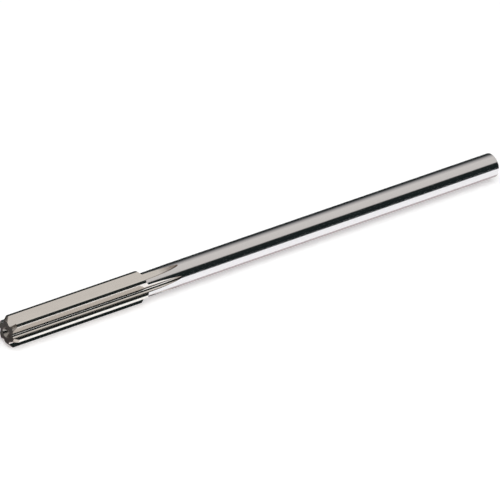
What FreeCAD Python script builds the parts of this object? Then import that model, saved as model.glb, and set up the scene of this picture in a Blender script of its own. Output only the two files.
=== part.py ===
"""Machine reamer: six straight teeth on a head and a thinner plain shank, ground from one bar.

Millimetres. The tool lies along X with its cutting end towards -X. The origin is the centre of
the shank's end. The reamer lies on its side as it comes to rest, on two neighbouring teeth.
Angles about the axis start at -Y and grow towards +Z, which is the way a right-hand tool turns.
"""
import FreeCAD
import Part
import math
import os

Vector = FreeCAD.Vector

# ---- head ----
head_diameter = 10.0
head_length = 50.0
tooth_count = 6
lead_height = 1.2
lead_angle = 45.0
neck_angle = 45.0

# ---- shank ----
shank_diameter = 7.75
overall_length = 190.0
shank_chamfer = 0.25

# ---- flutes ----
core_diameter = 5.55
flute_angle = 80.0
flute_root_radius = 0.35
flute_overrun = 0.3
wheel_diameter = 150.0
wheel_lean = 50.0

# ---- land behind each cutting edge ----
margin_width = 0.28
land_relief_angle = 15.0
lead_relief_angle = 8.0

# ---- centre holes in both ends ----
centre_angle = 60.0
front_centre_diameter = 3.5
front_pilot_diameter = 1.5
front_pilot_depth = 2.4
back_centre_diameter = 2.6
back_pilot_diameter = 1.1
back_pilot_depth = 1.8
drill_point_angle = 118.0

# ---- values that follow ----
head_radius = head_diameter / 2
shank_radius = shank_diameter / 2
tooth_pitch = 360.0 / tooth_count
front_x = -overall_length
head_end_x = front_x + head_length
margin_angle = math.degrees(margin_width / head_radius)
# at rest the middle of two neighbouring margins is half a pitch from straight below the axis
first_edge_angle = margin_angle / 2
# cutting bodies reach this far past the blank
reach = head_diameter
axis = Vector(1, 0, 0)


def at(radius, angle, x=0.0):
    """Point at a radius and an angle about the tool's axis."""
    a = math.radians(angle)
    return Vector(x, -radius * math.cos(a), radius * math.sin(a))


def run(height, angle):
    """Length that a flank at an angle to the axis takes to rise by a height."""
    return height / math.tan(math.radians(angle))


def polygon_face(points):
    """Flat face inside a closed ring of points."""
    return Part.Face(Part.makePolygon(points + points[:1]))


def turned(profile):
    """Solid of revolution about the tool's axis from (x, radius) points."""
    return polygon_face([at(r, 0, x) for x, r in profile]).revolve(Vector(), axis, 360)


def blank():
    """Head with its bevel lead and sloping back, and the shank with its small end chamfer."""
    return turned([
        (front_x, 0),
        (front_x, head_radius - lead_height),
        (front_x + run(lead_height, lead_angle), head_radius),
        (head_end_x, head_radius),
        (head_end_x + run(head_radius - shank_radius, neck_angle), shank_radius),
        (-shank_chamfer, shank_radius),
        (0, shank_radius - shank_chamfer),
        (0, 0),
    ])


def centre_hole(face_x, inward, mouth_diameter, pilot_diameter, pilot_depth):
    """Lathe centre: a cone seat that narrows into a short drilled pilot."""
    mouth = mouth_diameter / 2
    pilot = pilot_diameter / 2
    seat_end = run(mouth - pilot, centre_angle / 2)
    drilled_end = seat_end + pilot_depth
    outside = -run(mouth, centre_angle / 2)
    return turned([
        (face_x + inward * outside, 0),
        (face_x + inward * outside, 2 * mouth),
        (face_x + inward * seat_end, pilot),
        (face_x + inward * (drilled_end - run(pilot, drill_point_angle / 2)), pilot),
        (face_x + inward * drilled_end, 0),
    ])


def flute_section(x):
    """V with a rounded root, and the root's deepest point. The flank at angle 0 is a cutting face."""
    half = flute_angle / 2
    core = core_diameter / 2
    # the root arc touches both flanks, and its centre keeps the arc outside the core circle
    touch_radius = math.sqrt((core + flute_root_radius) ** 2 - flute_root_radius ** 2)
    flank = flute_root_radius / math.tan(math.radians(half))
    corner = at(touch_radius - flank, 0, x)
    bottom = flute_root_radius / math.sin(math.radians(half)) - flute_root_radius
    face_start = corner + at(flank, 0)
    root = corner + at(bottom, half)
    back_start = corner + at(flank, flute_angle)
    face_end = corner + at(reach, 0)
    back_end = corner + at(reach, flute_angle)
    edges = [
        Part.makeLine(face_end, face_start),
        Part.Arc(face_start, root, back_start).toShape(),
        Part.makeLine(back_start, back_end),
        Part.makeLine(back_end, face_end),
    ]
    return Part.Face(Part.Wire(edges)), root


def flute():
    """Straight groove through the head, then the curved run-out of a wheel that lifts clear."""
    start_x = front_x - reach
    full_depth_x = head_end_x + flute_overrun
    section, root = flute_section(full_depth_x)
    groove = section.extrude(Vector(start_x - full_depth_x, 0, 0))
    lift = at(1, wheel_lean)
    wheel_centre = root + lift * (wheel_diameter / 2)
    clear_angle = 45.0
    run_out = section.revolve(wheel_centre, axis.cross(lift), clear_angle)
    return groove.fuse(run_out).removeSplitter()


def land_relief():
    """Flat that drops the land away behind the margin, so that only the margin bears."""
    start = at(head_radius, -margin_angle, front_x - reach)
    fall = at(reach, -margin_angle - 90 - land_relief_angle)
    out = at(reach, -margin_angle)
    wedge = polygon_face([start, start + fall, start + fall + out, start + out])
    return wedge.extrude(Vector(head_length + reach + run(reach, neck_angle), 0, 0))


def lead_relief():
    """Bevel ground about an axis set off to one side, which clears the lead behind its edge."""
    offset = at(head_radius * math.sin(math.radians(lead_relief_angle)), 90)
    # the cone still meets the corner of the cutting edge after its axis moves
    corner_radius = math.hypot(head_radius, offset.Length)
    corner_x = front_x + run(lead_height, lead_angle)
    inner = corner_radius - 2 * lead_height
    outer = corner_radius + lead_height
    inner_x = corner_x - run(2 * lead_height, lead_angle)
    outer_x = corner_x + run(lead_height, lead_angle)
    start_angle = -tooth_pitch * 3 / 4
    corners = [(inner_x, inner), (outer_x, outer), (inner_x, outer)]
    ring = polygon_face([offset + at(r, start_angle, x) for x, r in corners])
    return ring.revolve(offset, -axis, tooth_pitch)


def around(shape):
    """One copy of a cutting body for each tooth."""
    copies = []
    for k in range(tooth_count):
        copy = shape.copy()
        copy.rotate(Vector(), -axis, first_edge_angle + k * tooth_pitch)
        copies.append(copy)
    return copies


def reamer():
    body = blank()
    body = body.cut(around(flute()))
    body = body.cut(around(land_relief()))
    body = body.cut(around(lead_relief()))
    return body.cut([
        centre_hole(front_x, 1, front_centre_diameter, front_pilot_diameter, front_pilot_depth),
        centre_hole(0, -1, back_centre_diameter, back_pilot_diameter, back_pilot_depth),
    ])


def main():
    os.makedirs("parts", exist_ok=True)
    tool = reamer()
    solid = tool.Solids[0]
    print("solids", len(tool.Solids), "valid", solid.isValid(), "volume", round(solid.Volume, 2))
    solid.exportStep("parts/reamer.step")


main()
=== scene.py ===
"""Looks of the machine reamer: its ground steel, and a small white studio to reflect in it."""
import math

import bmesh
import bpy
from mathutils import Matrix, Vector


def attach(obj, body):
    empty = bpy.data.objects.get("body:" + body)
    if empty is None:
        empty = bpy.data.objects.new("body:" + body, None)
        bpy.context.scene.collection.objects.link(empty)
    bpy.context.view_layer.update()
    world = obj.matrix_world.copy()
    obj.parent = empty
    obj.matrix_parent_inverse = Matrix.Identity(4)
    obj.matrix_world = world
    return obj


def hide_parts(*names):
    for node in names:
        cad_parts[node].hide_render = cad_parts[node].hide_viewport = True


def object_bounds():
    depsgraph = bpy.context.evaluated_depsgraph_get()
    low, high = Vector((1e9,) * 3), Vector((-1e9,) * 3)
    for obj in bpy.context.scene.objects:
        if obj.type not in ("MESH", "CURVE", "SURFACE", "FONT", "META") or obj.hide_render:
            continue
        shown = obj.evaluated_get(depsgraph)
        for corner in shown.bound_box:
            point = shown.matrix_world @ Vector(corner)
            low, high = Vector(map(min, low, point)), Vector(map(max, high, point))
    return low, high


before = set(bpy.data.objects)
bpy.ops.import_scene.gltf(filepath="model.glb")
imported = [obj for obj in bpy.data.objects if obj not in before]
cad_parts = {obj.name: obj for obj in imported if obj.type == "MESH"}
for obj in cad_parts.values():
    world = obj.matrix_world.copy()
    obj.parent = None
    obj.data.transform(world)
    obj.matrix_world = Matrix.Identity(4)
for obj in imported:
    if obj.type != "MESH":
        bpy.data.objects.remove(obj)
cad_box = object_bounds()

# ---- the tool's sizes, in millimetres ----
# They are those of the solid, but for three: the flutes' root is rounder and less deep here, and
# the wheel is larger, so that the walls and the tips of the run-outs stay where they are on it.
OVERALL_LENGTH = 190.0
HEAD_RADIUS = 5.0
HEAD_LENGTH = 50.0
SHANK_RADIUS = 3.875
TOOTH_COUNT = 6
LEAD_HEIGHT = 1.2
SHANK_CHAMFER = 0.25
CORE_RADIUS = 2.967
FLUTE_ANGLE = 80.0
ROOT_RADIUS = 0.9
FLUTE_OVERRUN = 0.3
WHEEL_RADIUS = 90.7
WHEEL_LEAN = 50.0
MARGIN_WIDTH = 0.28
LAND_RELIEF = 15.0
LEAD_RELIEF = 8.0
# mouth radius, pilot radius and pilot depth of each centre hole
FRONT_CENTRE = (1.75, 0.75, 2.4)
BACK_CENTRE = (1.3, 0.55, 1.8)
CENTRE_HALF_ANGLE = 30.0
DRILL_HALF_ANGLE = 59.0

MM = 0.001
FRONT_X = -OVERALL_LENGTH
HEAD_END_X = FRONT_X + HEAD_LENGTH
TOOTH_PITCH = 360.0 / TOOTH_COUNT
MARGIN_ANGLE = math.degrees(MARGIN_WIDTH / HEAD_RADIUS)
AXIS = Vector((1, 0, 0))
# cutting bodies reach this far past what they cut
CLEAR = 1.0
# share of a tooth pitch by which the body that grinds a lead starts behind the cutting edge
LEAD_BEHIND = 0.75

# ---- finishes, in the order of the piece's material slots ----
GROUND_SHANK, GROUND_FLUTE, POLISHED_MARGIN, GROUND_LEAD, SHADED_FRONT, CENTRE_SEAT, TURNED_END = range(7)

# ---- what tells the faces of the tool apart ----
# depth within which the centre holes lie, and how near to its surface a face counts as on it
CENTRE_DEPTH = 6.0
MARGIN_FIT = 0.01
PROFILE_FIT = 0.02
# parts of a face's unit normal: along X for the ends and the leads, away from the axis for the rest
SQUARE_ACROSS = 0.99
BEVEL_FORWARD = -0.5
PROFILE_OUTWARD = 0.6
MARGIN_OUTWARD = 0.999

# ---- fineness of the meshes ----
# points nearer to each other than this, in millimetres, are one point
SAME_POINT = 0.001
ROUND_STEPS = 180
ROOT_STEPS = 20
RUN_OUT_STEPS = 32
RUN_OUT_SWEEP = 20.0
SHARP_EDGE = 22.0

# ---- steel ----
# the range of the noise that carries its pattern
GRAIN_LOW = 0.3
GRAIN_HIGH = 0.7
# depths of the surface relief, in metres
SCRATCH_DEPTH = 4e-6
TURNING_DEPTH = 5e-6
SKIN_DEPTH = 2e-5
# heat tint at the tips of the flutes' run-outs, in metres along X
TINT_START = -0.1330
TINT_END = -0.1275
TINT_FULL = 0.95
TINT_THIN = 0.6
TINT_GRAIN = (900, 2500, 2500)
HEAT_TINT = (0.13, 0.085, 0.06)

# ---- the studio, in metres ----
FLOOR_SIZE = 12.0
FLOOR_WHITE = 0.8
FLOOR_LIFT = 0.3
TENT_RADIUS = 0.9
TENT_LENGTH = 3.0
TENT_STEPS = 64
STRIP_LENGTH = 2.4
STRIP_LIFT = 0.0002
FRONT_STRIP = (-0.60, -0.033)
BACK_STRIP = (0.012, 0.60)
# painted shadow: a brown strip right under the tool, seen only in the steel, that stands in for the
# tool's contact shadow on the floor
PAINTED_SHADOW_REACH = (-0.0043, 0.004)
STRIP_BLACK = (0.012, 0.018, 0.018)
# colour of that painted shadow
PAINTED_SHADOW_BROWN = (0.52, 0.46, 0.46)
END_CARD_X = -0.75
END_CARD_SIZE = 0.56
END_CARD_HEIGHT = 0.43
END_CARD_BROWN = (0.10, 0.085, 0.07)
KEY_SIZE = 1.6
KEY_POWER = 22.5
KEY_OFFSET = Vector((-0.3, -0.5, 1.5))
FILL_LEVEL = 0.35

# brightness of the tent's inside against the angle from the front horizon, over the top, to the back
HALF_TURN = 180.0
TENT_TONES = [
    (0.0, (0.010, 0.015, 0.015)),
    (49.0, (0.012, 0.017, 0.017)),
    (55.0, (0.66, 0.635, 0.60)),
    (112.0, (0.68, 0.655, 0.62)),
    (133.0, (0.45, 0.435, 0.42)),
    (150.0, (0.17, 0.17, 0.17)),
    (164.0, (0.03, 0.035, 0.035)),
    (180.0, (0.012, 0.018, 0.018)),
]

# ---- the camera ----
VIEW_AZIMUTH = -43.70
VIEW_ELEVATION = 34.87
VIEW_ROLL = 9.58
VIEW_DISTANCE = 2.323
VIEW_LENS = 548.5
SENSOR_WIDTH = 36.0
VIEW_CENTRE = Vector((-0.09655, 0.0001, -0.00076))


def at(radius, angle, x=0.0):
    """Point at a radius and an angle about the tool's axis, from -Y towards +Z."""
    a = math.radians(angle)
    return Vector((x, -radius * math.cos(a), radius * math.sin(a)))


def run(height, angle):
    """Length that a flank at an angle to the axis takes to rise by a height."""
    return height / math.tan(math.radians(angle))


def mesh_object(name, bm):
    """Object at the origin that holds a bmesh."""
    mesh = bpy.data.meshes.new(name)
    bm.to_mesh(mesh)
    bm.free()
    piece = bpy.data.objects.new(name, mesh)
    bpy.context.scene.collection.objects.link(piece)
    return piece


def chain(bm, points, closed=False):
    """Vertices and edges through points in order."""
    verts = [bm.verts.new(p) for p in points]
    pairs = list(zip(verts, verts[1:]))
    if closed:
        pairs.append((verts[-1], verts[0]))
    return verts, [bm.edges.new(pair) for pair in pairs]


def centre_profile(face_x, inward, sizes):
    """Profile of a centre hole from the axis out to its mouth."""
    mouth, pilot, pilot_depth = sizes
    seat_end = run(mouth - pilot, CENTRE_HALF_ANGLE)
    drilled_end = seat_end + pilot_depth
    depths = [
        (drilled_end, 0),
        (drilled_end - run(pilot, DRILL_HALF_ANGLE), pilot),
        (seat_end, pilot),
        (0, mouth),
    ]
    return [(face_x + inward * depth, r) for depth, r in depths]


def blank():
    """Turned bar with its head, neck, shank and both centre holes."""
    profile = centre_profile(FRONT_X, 1, FRONT_CENTRE)
    profile += [
        (FRONT_X, HEAD_RADIUS - LEAD_HEIGHT),
        (FRONT_X + LEAD_HEIGHT, HEAD_RADIUS),
        (HEAD_END_X, HEAD_RADIUS),
        (HEAD_END_X + HEAD_RADIUS - SHANK_RADIUS, SHANK_RADIUS),
        (-SHANK_CHAMFER, SHANK_RADIUS),
        (0, SHANK_RADIUS - SHANK_CHAMFER),
    ]
    profile += centre_profile(0, -1, BACK_CENTRE)[::-1]
    bm = bmesh.new()
    verts, edges = chain(bm, [at(r, 0, x) for x, r in profile])
    bmesh.ops.spin(bm, geom=verts + edges, cent=(0, 0, 0), axis=AXIS, dvec=(0, 0, 0),
                   angle=math.tau, steps=ROUND_STEPS, use_merge=True)
    bmesh.ops.remove_doubles(bm, verts=bm.verts, dist=SAME_POINT)
    bmesh.ops.recalc_face_normals(bm, faces=bm.faces)
    return mesh_object("reamer_blank", bm)


def flute_outline(x):
    """Points of the flute's V with its rounded root, and the root's deepest point."""
    half = FLUTE_ANGLE / 2
    touch = math.sqrt((CORE_RADIUS + ROOT_RADIUS) ** 2 - ROOT_RADIUS ** 2)
    flank = ROOT_RADIUS / math.tan(math.radians(half))
    corner = at(touch - flank, 0, x)
    centre = at(touch, 0, x) + at(ROOT_RADIUS, 90)
    turn = 180.0 - FLUTE_ANGLE
    arc = [centre + at(ROOT_RADIUS, -90 - turn * k / ROOT_STEPS) for k in range(ROOT_STEPS + 1)]
    root = centre + at(ROOT_RADIUS, half + 180)
    opening = HEAD_RADIUS + CLEAR / 2
    back_length = opening - CORE_RADIUS + 2 * CLEAR
    outside = [
        corner + at(back_length, FLUTE_ANGLE),
        at(opening + CLEAR, half / 2, x),
        at(opening, 0, x),
    ]
    return arc + outside, root


def flute_cutter(bm):
    """Closed body of one flute: the straight groove and its curved run-out."""
    full_depth_x = HEAD_END_X + FLUTE_OVERRUN
    start_x = FRONT_X - CLEAR
    points, root = flute_outline(full_depth_x)
    verts, edges = chain(bm, points, closed=True)
    shift = Vector((start_x - full_depth_x, 0, 0))
    groove = bmesh.ops.extrude_edge_only(bm, edges=edges)["geom"]
    groove_verts = [g for g in groove if isinstance(g, bmesh.types.BMVert)]
    groove_edges = [g for g in groove if isinstance(g, bmesh.types.BMEdge)]
    bmesh.ops.translate(bm, verts=groove_verts, vec=shift)
    rim = [e for e in groove_edges if all(v in groove_verts for v in e.verts)]
    bmesh.ops.contextual_create(bm, geom=rim)
    lift = at(1, WHEEL_LEAN)
    swept = bmesh.ops.spin(bm, geom=verts + edges, cent=root + lift * WHEEL_RADIUS,
                           axis=AXIS.cross(lift), dvec=(0, 0, 0),
                           angle=math.radians(RUN_OUT_SWEEP), steps=RUN_OUT_STEPS)["geom_last"]
    last = [g for g in swept if isinstance(g, bmesh.types.BMEdge)]
    bmesh.ops.contextual_create(bm, geom=last)


def land_wedge(bm):
    """Closed body that clears the land behind one margin."""
    start = at(HEAD_RADIUS, -MARGIN_ANGLE, FRONT_X - CLEAR)
    fall = at(2 * CLEAR, -MARGIN_ANGLE - 90 - LAND_RELIEF)
    out = at(2 * CLEAR, -MARGIN_ANGLE)
    verts, edges = chain(bm, [start, start + fall, start + fall + out, start + out], closed=True)
    cap = bmesh.ops.contextual_create(bm, geom=edges)["faces"]
    pushed = bmesh.ops.extrude_face_region(bm, geom=cap, use_keep_orig=True)["geom"]
    length = HEAD_LENGTH + CLEAR + HEAD_RADIUS - SHANK_RADIUS
    bmesh.ops.translate(bm, vec=(length, 0, 0),
                        verts=[g for g in pushed if isinstance(g, bmesh.types.BMVert)])


def lead_ring(bm):
    """Closed body that grinds one tooth's bevel lead about an axis set off to one side."""
    offset = at(HEAD_RADIUS * math.sin(math.radians(LEAD_RELIEF)), 90)
    corner_radius = math.hypot(HEAD_RADIUS, offset.length)
    corner_x = FRONT_X + LEAD_HEIGHT
    inner = (corner_x - 2 * LEAD_HEIGHT, corner_radius - 2 * LEAD_HEIGHT)
    outer = (corner_x + LEAD_HEIGHT, corner_radius + LEAD_HEIGHT)
    corners = [inner, outer, (inner[0], outer[1])]
    start_angle = -TOOTH_PITCH * LEAD_BEHIND
    verts, edges = chain(bm, [offset + at(r, start_angle, x) for x, r in corners], closed=True)
    bmesh.ops.contextual_create(bm, geom=edges)
    swept = bmesh.ops.spin(bm, geom=verts + edges, cent=offset, axis=-AXIS, dvec=(0, 0, 0),
                           angle=math.radians(TOOTH_PITCH),
                           steps=ROUND_STEPS // TOOTH_COUNT)["geom_last"]
    bmesh.ops.contextual_create(bm, geom=[g for g in swept if isinstance(g, bmesh.types.BMEdge)])


def around(name, build):
    """One object with a cutting body for each tooth."""
    bm = bmesh.new()
    for k in range(TOOTH_COUNT):
        before = set(bm.verts)
        build(bm)
        angle = math.radians(MARGIN_ANGLE / 2 + k * TOOTH_PITCH)
        bmesh.ops.rotate(bm, verts=[v for v in bm.verts if v not in before], cent=(0, 0, 0),
                         matrix=Matrix.Rotation(-angle, 3, AXIS))
    bmesh.ops.recalc_face_normals(bm, faces=bm.faces)
    return mesh_object(name, bm)


def carved(body, cutters):
    """Mesh of the body after each cutter is taken from it."""
    for cutter in cutters:
        cut = body.modifiers.new("cut", "BOOLEAN")
        cut.operation = "DIFFERENCE"
        cut.solver = "EXACT"
        cut.object = cutter
    depsgraph = bpy.context.evaluated_depsgraph_get()
    mesh = bpy.data.meshes.new_from_object(body.evaluated_get(depsgraph))
    for used in [body] + cutters:
        bpy.data.objects.remove(used)
    return mesh


def on_profile(x, radius):
    """True where the point lies on the neck, the shank or the chamfer at its end."""
    if x < HEAD_END_X / 2:
        neck = SHANK_RADIUS + max(0.0, HEAD_END_X + HEAD_RADIUS - SHANK_RADIUS - x)
        surface = min(neck, HEAD_RADIUS)
    else:
        surface = SHANK_RADIUS - max(0.0, x + SHANK_CHAMFER)
    return abs(radius - surface) < PROFILE_FIT


def face_finish(face):
    """Index of the finish that a face of the reamer gets, from where it is and how it faces."""
    centre = face.calc_center_median()
    radius = math.hypot(centre.y, centre.z)
    normal = face.normal
    if abs(normal.x) > SQUARE_ACROSS:
        return SHADED_FRONT if centre.x < FRONT_X / 2 else TURNED_END
    outward = (normal.y * centre.y + normal.z * centre.z) / max(radius, SAME_POINT)
    if centre.x < FRONT_X + CENTRE_DEPTH and radius < FRONT_CENTRE[0]:
        return CENTRE_SEAT
    if centre.x > -CENTRE_DEPTH and radius < BACK_CENTRE[0]:
        return CENTRE_SEAT
    if centre.x < FRONT_X + LEAD_HEIGHT and normal.x < BEVEL_FORWARD:
        return GROUND_LEAD
    if centre.x > HEAD_END_X and on_profile(centre.x, radius) and outward > PROFILE_OUTWARD:
        return GROUND_SHANK
    if radius > HEAD_RADIUS - MARGIN_FIT and outward > MARGIN_OUTWARD:
        return POLISHED_MARGIN
    return GROUND_FLUTE


def reamer():
    """The whole tool as one fine mesh, with a finish on each of its faces."""
    cutters = [around("flutes", flute_cutter), around("lands", land_wedge), around("leads", lead_ring)]
    mesh = carved(blank(), cutters)
    bm = bmesh.new()
    bm.from_mesh(mesh)
    bmesh.ops.remove_doubles(bm, verts=bm.verts, dist=SAME_POINT / 2)
    bmesh.ops.dissolve_degenerate(bm, edges=bm.edges, dist=SAME_POINT / 2)
    bmesh.ops.recalc_face_normals(bm, faces=bm.faces)
    for face in bm.faces:
        face.material_index = face_finish(face)
        face.smooth = True
    for edge in bm.edges:
        edge.smooth = edge.is_manifold and edge.calc_face_angle() < math.radians(SHARP_EDGE)
    bmesh.ops.scale(bm, verts=bm.verts, vec=(MM, MM, MM))
    piece = mesh_object("reamer_ground", bm)
    normals = piece.modifiers.new("flat_flats", "WEIGHTED_NORMAL")
    normals.keep_sharp = True
    return piece


class Nodes:
    """The node tree of a material or of the world, with short ways to add to it."""

    def __init__(self, owner, clear=False):
        owner.use_nodes = True
        self.tree = owner.node_tree
        if clear:
            self.tree.nodes.clear()

    def node(self, kind, **settings):
        """New node with its settings."""
        made = self.tree.nodes.new(kind)
        for key, value in settings.items():
            setattr(made, key, value)
        return made

    def link(self, source, target):
        """Wire from an output to an input."""
        self.tree.links.new(source, target)

    def maths(self, operation, *values):
        """Output of a calculation on numbers and other nodes' outputs."""
        made = self.node("ShaderNodeMath", operation=operation)
        for socket, value in zip(made.inputs, values):
            if isinstance(value, bpy.types.NodeSocket):
                self.link(value, socket)
            else:
                socket.default_value = value
        return made.outputs[0]

    def coordinates(self):
        """Outputs X, Y and Z of the shaded point, in the object's own frame."""
        parts = self.node("ShaderNodeSeparateXYZ")
        self.link(self.node("ShaderNodeTexCoord").outputs["Object"], parts.inputs[0])
        return parts.outputs

    def show(self, shader):
        """Makes a shader the surface of the material."""
        out = self.node("ShaderNodeOutputMaterial")
        self.link(shader.outputs[0], out.inputs["Surface"])

    def shown_background(self):
        """1 for rays that see the background straight, in a reflection or through glass, else 0."""
        rays = self.node("ShaderNodeLightPath").outputs
        either = self.maths("MAXIMUM", rays["Is Camera Ray"], rays["Is Glossy Ray"])
        return self.maths("MAXIMUM", either, rays["Is Transmission Ray"])


class Finish(Nodes):
    """A steel finish that is being built, patterned by the object's own coordinates."""

    def __init__(self, name, metallic=1.0):
        self.material = bpy.data.materials.new(name)
        super().__init__(self.material)
        self.shader = self.tree.nodes["Principled BSDF"]
        self.shader.inputs["Metallic"].default_value = metallic

    def grain(self, per_metre, detail=3.0, roughness=0.55):
        """Noise from 0 to 1, with its own number of grains per metre along X, Y and Z."""
        mapping = self.node("ShaderNodeMapping")
        mapping.inputs["Scale"].default_value = per_metre
        self.link(self.node("ShaderNodeTexCoord").outputs["Object"], mapping.inputs["Vector"])
        noise = self.node("ShaderNodeTexNoise")
        noise.inputs["Scale"].default_value = 1.0
        noise.inputs["Detail"].default_value = detail
        noise.inputs["Roughness"].default_value = roughness
        self.link(mapping.outputs["Vector"], noise.inputs["Vector"])
        return noise.outputs["Fac"]

    def spread(self, value, low, high, start=GRAIN_LOW, stop=GRAIN_HIGH):
        """A value brought from the range start to stop into the range low to high."""
        scaled = self.node("ShaderNodeMapRange")
        scaled.inputs["From Min"].default_value = start
        scaled.inputs["From Max"].default_value = stop
        scaled.inputs["To Min"].default_value = low
        scaled.inputs["To Max"].default_value = high
        self.link(value, scaled.inputs["Value"])
        return scaled.outputs["Result"]

    def blend(self, factor, dark, pale):
        """Colour between two colours."""
        mix = self.node("ShaderNodeMix", data_type="RGBA")
        self.link(factor, mix.inputs["Factor"])
        mix.inputs["A"].default_value = (*dark, 1)
        mix.inputs["B"].default_value = (*pale, 1)
        return mix.outputs["Result"]

    def heat_tinted(self, source):
        """The source's colour, turned into the heat tint along X with a ragged edge."""
        reach = self.spread(self.coordinates()["X"], 0.0, TINT_FULL, TINT_START, TINT_END)
        ragged = self.spread(self.grain(TINT_GRAIN, detail=4.0), TINT_THIN, 1.0)
        mix = self.node("ShaderNodeMix", data_type="RGBA")
        self.link(self.maths("MULTIPLY", reach, ragged), mix.inputs["Factor"])
        self.link(source, mix.inputs["A"])
        mix.inputs["B"].default_value = (*HEAT_TINT, 1)
        return mix.outputs["Result"]

    def surface(self, colour, grain, roughness, strength, depth=SCRATCH_DEPTH):
        """Colour, dullness between two roughnesses and fine relief, the last two from one grain."""
        self.link(colour, self.shader.inputs["Base Color"])
        self.link(self.spread(grain, *roughness), self.shader.inputs["Roughness"])
        if strength:
            bump = self.node("ShaderNodeBump")
            bump.inputs["Strength"].default_value = strength
            bump.inputs["Distance"].default_value = depth
            self.link(grain, bump.inputs["Height"])
            self.link(bump.outputs["Normal"], self.shader.inputs["Normal"])
        return self.material


def ground_shank():
    """Cylindrically ground steel: fine rings round the shank under a soft polish."""
    finish = Finish("ground_shank")
    rings = finish.grain(per_metre=(5200, 60, 60))
    patches = finish.grain(per_metre=(90, 260, 260), detail=4.0)
    steel = finish.blend(patches, dark=(0.79, 0.78, 0.80), pale=(0.83, 0.82, 0.84))
    return finish.surface(steel, rings, roughness=(0.10, 0.16), strength=0.12)


def ground_flute():
    """Flute walls: the wheel's marks along the tool, a warm cast and a heat tint at the tips."""
    finish = Finish("ground_flute")
    strokes = finish.grain(per_metre=(35, 7000, 7000))
    patches = finish.grain(per_metre=(160, 700, 700), detail=4.0)
    steel = finish.blend(patches, dark=(0.80, 0.765, 0.735), pale=(0.86, 0.825, 0.795))
    return finish.surface(finish.heat_tinted(steel), strokes, roughness=(0.09, 0.16), strength=0.15)


def polished_margin():
    """Narrow bearing strip behind the cutting edge, lapped brighter than the rest."""
    finish = Finish("polished_margin")
    rings = finish.grain(per_metre=(3000, 200, 200))
    steel = finish.blend(rings, dark=(0.84, 0.82, 0.78), pale=(0.90, 0.88, 0.84))
    return finish.surface(steel, rings, roughness=(0.09, 0.15), strength=0.0)


def ground_lead():
    """Bevel that does the cutting, with marks that run round the tool, its colour painted a darker
    brown for the shade it lies in.
    """
    finish = Finish("ground_lead")
    rings = finish.grain(per_metre=(6000, 500, 500))
    # painted shade: a darker brown than the steel of the flutes
    steel = finish.blend(rings, dark=(0.50, 0.45, 0.40), pale=(0.62, 0.57, 0.52))
    return finish.surface(steel, rings, roughness=(0.2, 0.3), strength=0.2)


def shaded_front_face():
    """Dull front face: a slight brown of its own, painted far darker than steel for the shade the face
    lies in.
    """
    finish = Finish("shaded_front_face", metallic=0.6)
    blotches = finish.grain(per_metre=(900, 900, 900), detail=6.0, roughness=0.65)
    # painted shade: the face's colour is set near black, darker than any steel, for the shade at the
    # cutting end
    painted_dark_face = finish.blend(blotches, dark=(0.030, 0.025, 0.021), pale=(0.065, 0.055, 0.047))
    return finish.surface(painted_dark_face, blotches, roughness=(0.42, 0.6), strength=0.3, depth=SKIN_DEPTH)


def centre_seat():
    """Cone of a centre hole, drilled and lapped, its colour painted darker than the rest of the steel
    for the shade inside the hole.
    """
    finish = Finish("centre_seat")
    rings = finish.grain(per_metre=(7000, 900, 900))
    # painted shade: steel darkened inside the hole
    steel = finish.blend(rings, dark=(0.32, 0.30, 0.28), pale=(0.42, 0.40, 0.38))
    return finish.surface(steel, rings, roughness=(0.16, 0.26), strength=0.2)


def turned_end():
    """Faced end of the shank."""
    finish = Finish("turned_end")
    swirls = finish.grain(per_metre=(200, 2600, 2600), detail=5.0)
    steel = finish.blend(swirls, dark=(0.52, 0.50, 0.49), pale=(0.66, 0.64, 0.62))
    return finish.surface(steel, swirls, roughness=(0.26, 0.4), strength=0.2, depth=TURNING_DEPTH)


def level_sheet(name, length, reach, z):
    """Level rectangle: a length along X, half of it on each side, and a low and a high Y."""
    low_y, high_y = reach
    bm = bmesh.new()
    bmesh.ops.create_grid(bm, x_segments=1, y_segments=1, size=0.5)
    bmesh.ops.scale(bm, verts=bm.verts, vec=(length, high_y - low_y, 1))
    bmesh.ops.translate(bm, verts=bm.verts, vec=(0, (low_y + high_y) / 2, z))
    return mesh_object(name, bm)


def floor(level):
    """White floor that takes the tool's shadow."""
    plane = level_sheet("floor", FLOOR_SIZE, (-FLOOR_SIZE / 2, FLOOR_SIZE / 2), level)
    material = bpy.data.materials.new("floor_white")
    nodes = Nodes(material, clear=True)
    diffuse = nodes.node("ShaderNodeBsdfDiffuse")
    diffuse.inputs["Color"].default_value = (FLOOR_WHITE, FLOOR_WHITE, FLOOR_WHITE, 1)
    glow = nodes.node("ShaderNodeEmission")
    lift = nodes.maths("MULTIPLY", nodes.shown_background(), FLOOR_LIFT)
    nodes.link(lift, glow.inputs["Strength"])
    both = nodes.node("ShaderNodeAddShader")
    nodes.link(diffuse.outputs[0], both.inputs[0])
    nodes.link(glow.outputs[0], both.inputs[1])
    nodes.show(both)
    plane.data.materials.append(material)


def only_in_reflections(card):
    """The card shows in the steel alone: it lights nothing, shades nothing and isn't seen itself."""
    card.visible_camera = False
    card.visible_diffuse = False
    card.visible_shadow = False
    card.visible_transmission = False
    card.visible_volume_scatter = False


def tent_tone(nodes):
    """Colour of the tent's inside against the angle about the tool."""
    point = nodes.coordinates()
    forward = nodes.maths("MULTIPLY", point["Y"], -1.0)
    angle = nodes.maths("ARCTAN2", point["Z"], forward)
    ramp = nodes.node("ShaderNodeValToRGB")
    ramp.color_ramp.interpolation = "EASE"
    stops = ramp.color_ramp.elements
    stops.remove(stops[1])
    for k, (degrees, tone) in enumerate(TENT_TONES):
        share = degrees / HALF_TURN
        stop = stops[0] if k == 0 else stops.new(share)
        stop.position = share
        stop.color = (*tone, 1)
    nodes.link(nodes.maths("DIVIDE", angle, math.pi), ramp.inputs["Fac"])
    return ramp.outputs["Color"]


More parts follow.
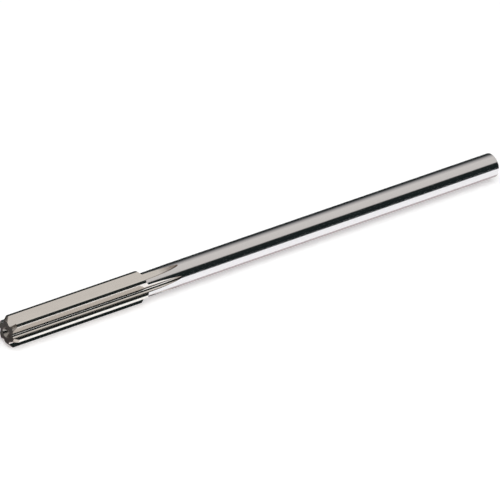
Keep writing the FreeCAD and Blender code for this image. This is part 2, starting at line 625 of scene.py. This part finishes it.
def tent():
    """Half-round tent over the tool: dark in front, a pale top, and dark again behind."""
    bm = bmesh.new()
    ends = (-TENT_LENGTH / 2, TENT_LENGTH / 2)
    verts, edges = chain(bm, [at(TENT_RADIUS, 0, x) for x in ends])
    bmesh.ops.spin(bm, geom=verts + edges, cent=(0, 0, 0), axis=-AXIS, dvec=(0, 0, 0),
                   angle=math.pi, steps=TENT_STEPS)
    card = mesh_object("light_tent", bm)
    material = bpy.data.materials.new("tent_cloth")
    nodes = Nodes(material, clear=True)
    glow = nodes.node("ShaderNodeEmission")
    nodes.link(tent_tone(nodes), glow.inputs["Color"])
    nodes.show(glow)
    card.data.materials.append(material)
    only_in_reflections(card)


def glowing(name, colour):
    """Material that gives off one colour and reflects nothing."""
    material = bpy.data.materials.new(name)
    nodes = Nodes(material, clear=True)
    glow = nodes.node("ShaderNodeEmission")
    glow.inputs["Color"].default_value = (*colour, 1)
    nodes.show(glow)
    return material


def card_and_painted_shadow_strip(name, reach, level, colour):
    """Strip that lies along the tool and draws a crisp line in the steel; the brown one under the tool
    is a painted shadow.
    """
    card = level_sheet(name, STRIP_LENGTH, reach, level + STRIP_LIFT)
    card.data.materials.append(glowing(name + "_paper", colour))
    only_in_reflections(card)


def end_card():
    """Dim upright card beyond the cutting end, which the leads and the front face reflect."""
    bm = bmesh.new()
    bmesh.ops.create_grid(bm, x_segments=1, y_segments=1, size=END_CARD_SIZE / 2)
    upright = Matrix.Rotation(math.pi / 2, 3, "Y")
    bmesh.ops.rotate(bm, verts=bm.verts, cent=(0, 0, 0), matrix=upright)
    bmesh.ops.translate(bm, verts=bm.verts, vec=(END_CARD_X, 0, END_CARD_HEIGHT))
    card = mesh_object("end_card", bm)
    card.data.materials.append(glowing("end_card_paper", END_CARD_BROWN))
    only_in_reflections(card)


def white_world():
    """White surroundings, and a plain soft fill on what they light."""
    world = bpy.data.worlds.new("white_world")
    bpy.context.scene.world = world
    nodes = Nodes(world)
    background = nodes.tree.nodes["Background"]
    background.inputs["Color"].default_value = (1, 1, 1, 1)
    level = nodes.node("ShaderNodeMapRange")
    level.inputs["To Min"].default_value = FILL_LEVEL
    level.inputs["To Max"].default_value = 1.0
    nodes.link(nodes.shown_background(), level.inputs["Value"])
    nodes.link(level.outputs["Result"], background.inputs["Strength"])


def key_light(middle):
    """Large soft lamp over the tool."""
    lamp = bpy.data.lights.new("key", "AREA")
    lamp.shape = "SQUARE"
    lamp.size = KEY_SIZE
    lamp.energy = KEY_POWER
    holder = bpy.data.objects.new("key", lamp)
    holder.location = middle + KEY_OFFSET
    holder.rotation_euler = (middle - holder.location).to_track_quat("-Z", "Y").to_euler()
    holder.visible_glossy = False
    bpy.context.scene.collection.objects.link(holder)


def camera():
    """Long lens that looks at the cutting end from the front left and above."""
    lens = bpy.data.cameras.new("camera")
    lens.lens = VIEW_LENS
    lens.sensor_width = SENSOR_WIDTH
    azimuth = math.radians(VIEW_AZIMUTH)
    elevation = math.radians(VIEW_ELEVATION)
    back = Vector((math.sin(azimuth) * math.cos(elevation),
                   -math.cos(azimuth) * math.cos(elevation),
                   math.sin(elevation)))
    roll = Matrix.Rotation(math.radians(VIEW_ROLL), 3, "Z").to_quaternion()
    holder = bpy.data.objects.new("camera", lens)
    holder.location = VIEW_CENTRE + back * VIEW_DISTANCE
    holder.rotation_euler = (back.to_track_quat("Z", "Y") @ roll).to_euler()
    bpy.context.scene.collection.objects.link(holder)
    bpy.context.scene.camera = holder


camera()
tool = reamer()
for make in (ground_shank, ground_flute, polished_margin, ground_lead, shaded_front_face, centre_seat,
             turned_end):
    tool.data.materials.append(make())
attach(tool, "root")
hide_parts("reamer")

low = Vector(cad_box[0])
high = Vector(cad_box[1])
floor(low.z)
tent()
card_and_painted_shadow_strip("front_strip", FRONT_STRIP, low.z, STRIP_BLACK)
card_and_painted_shadow_strip("back_strip", BACK_STRIP, low.z, STRIP_BLACK)
# painted shadow: the brown strip beneath the tool stands in for its contact shadow in the reflections
card_and_painted_shadow_strip("painted_shadow_strip", PAINTED_SHADOW_REACH, low.z, PAINTED_SHADOW_BROWN)
end_card()
white_world()
key_light((low + high) / 2)

bpy.context.scene.view_settings.view_transform = "Standard"
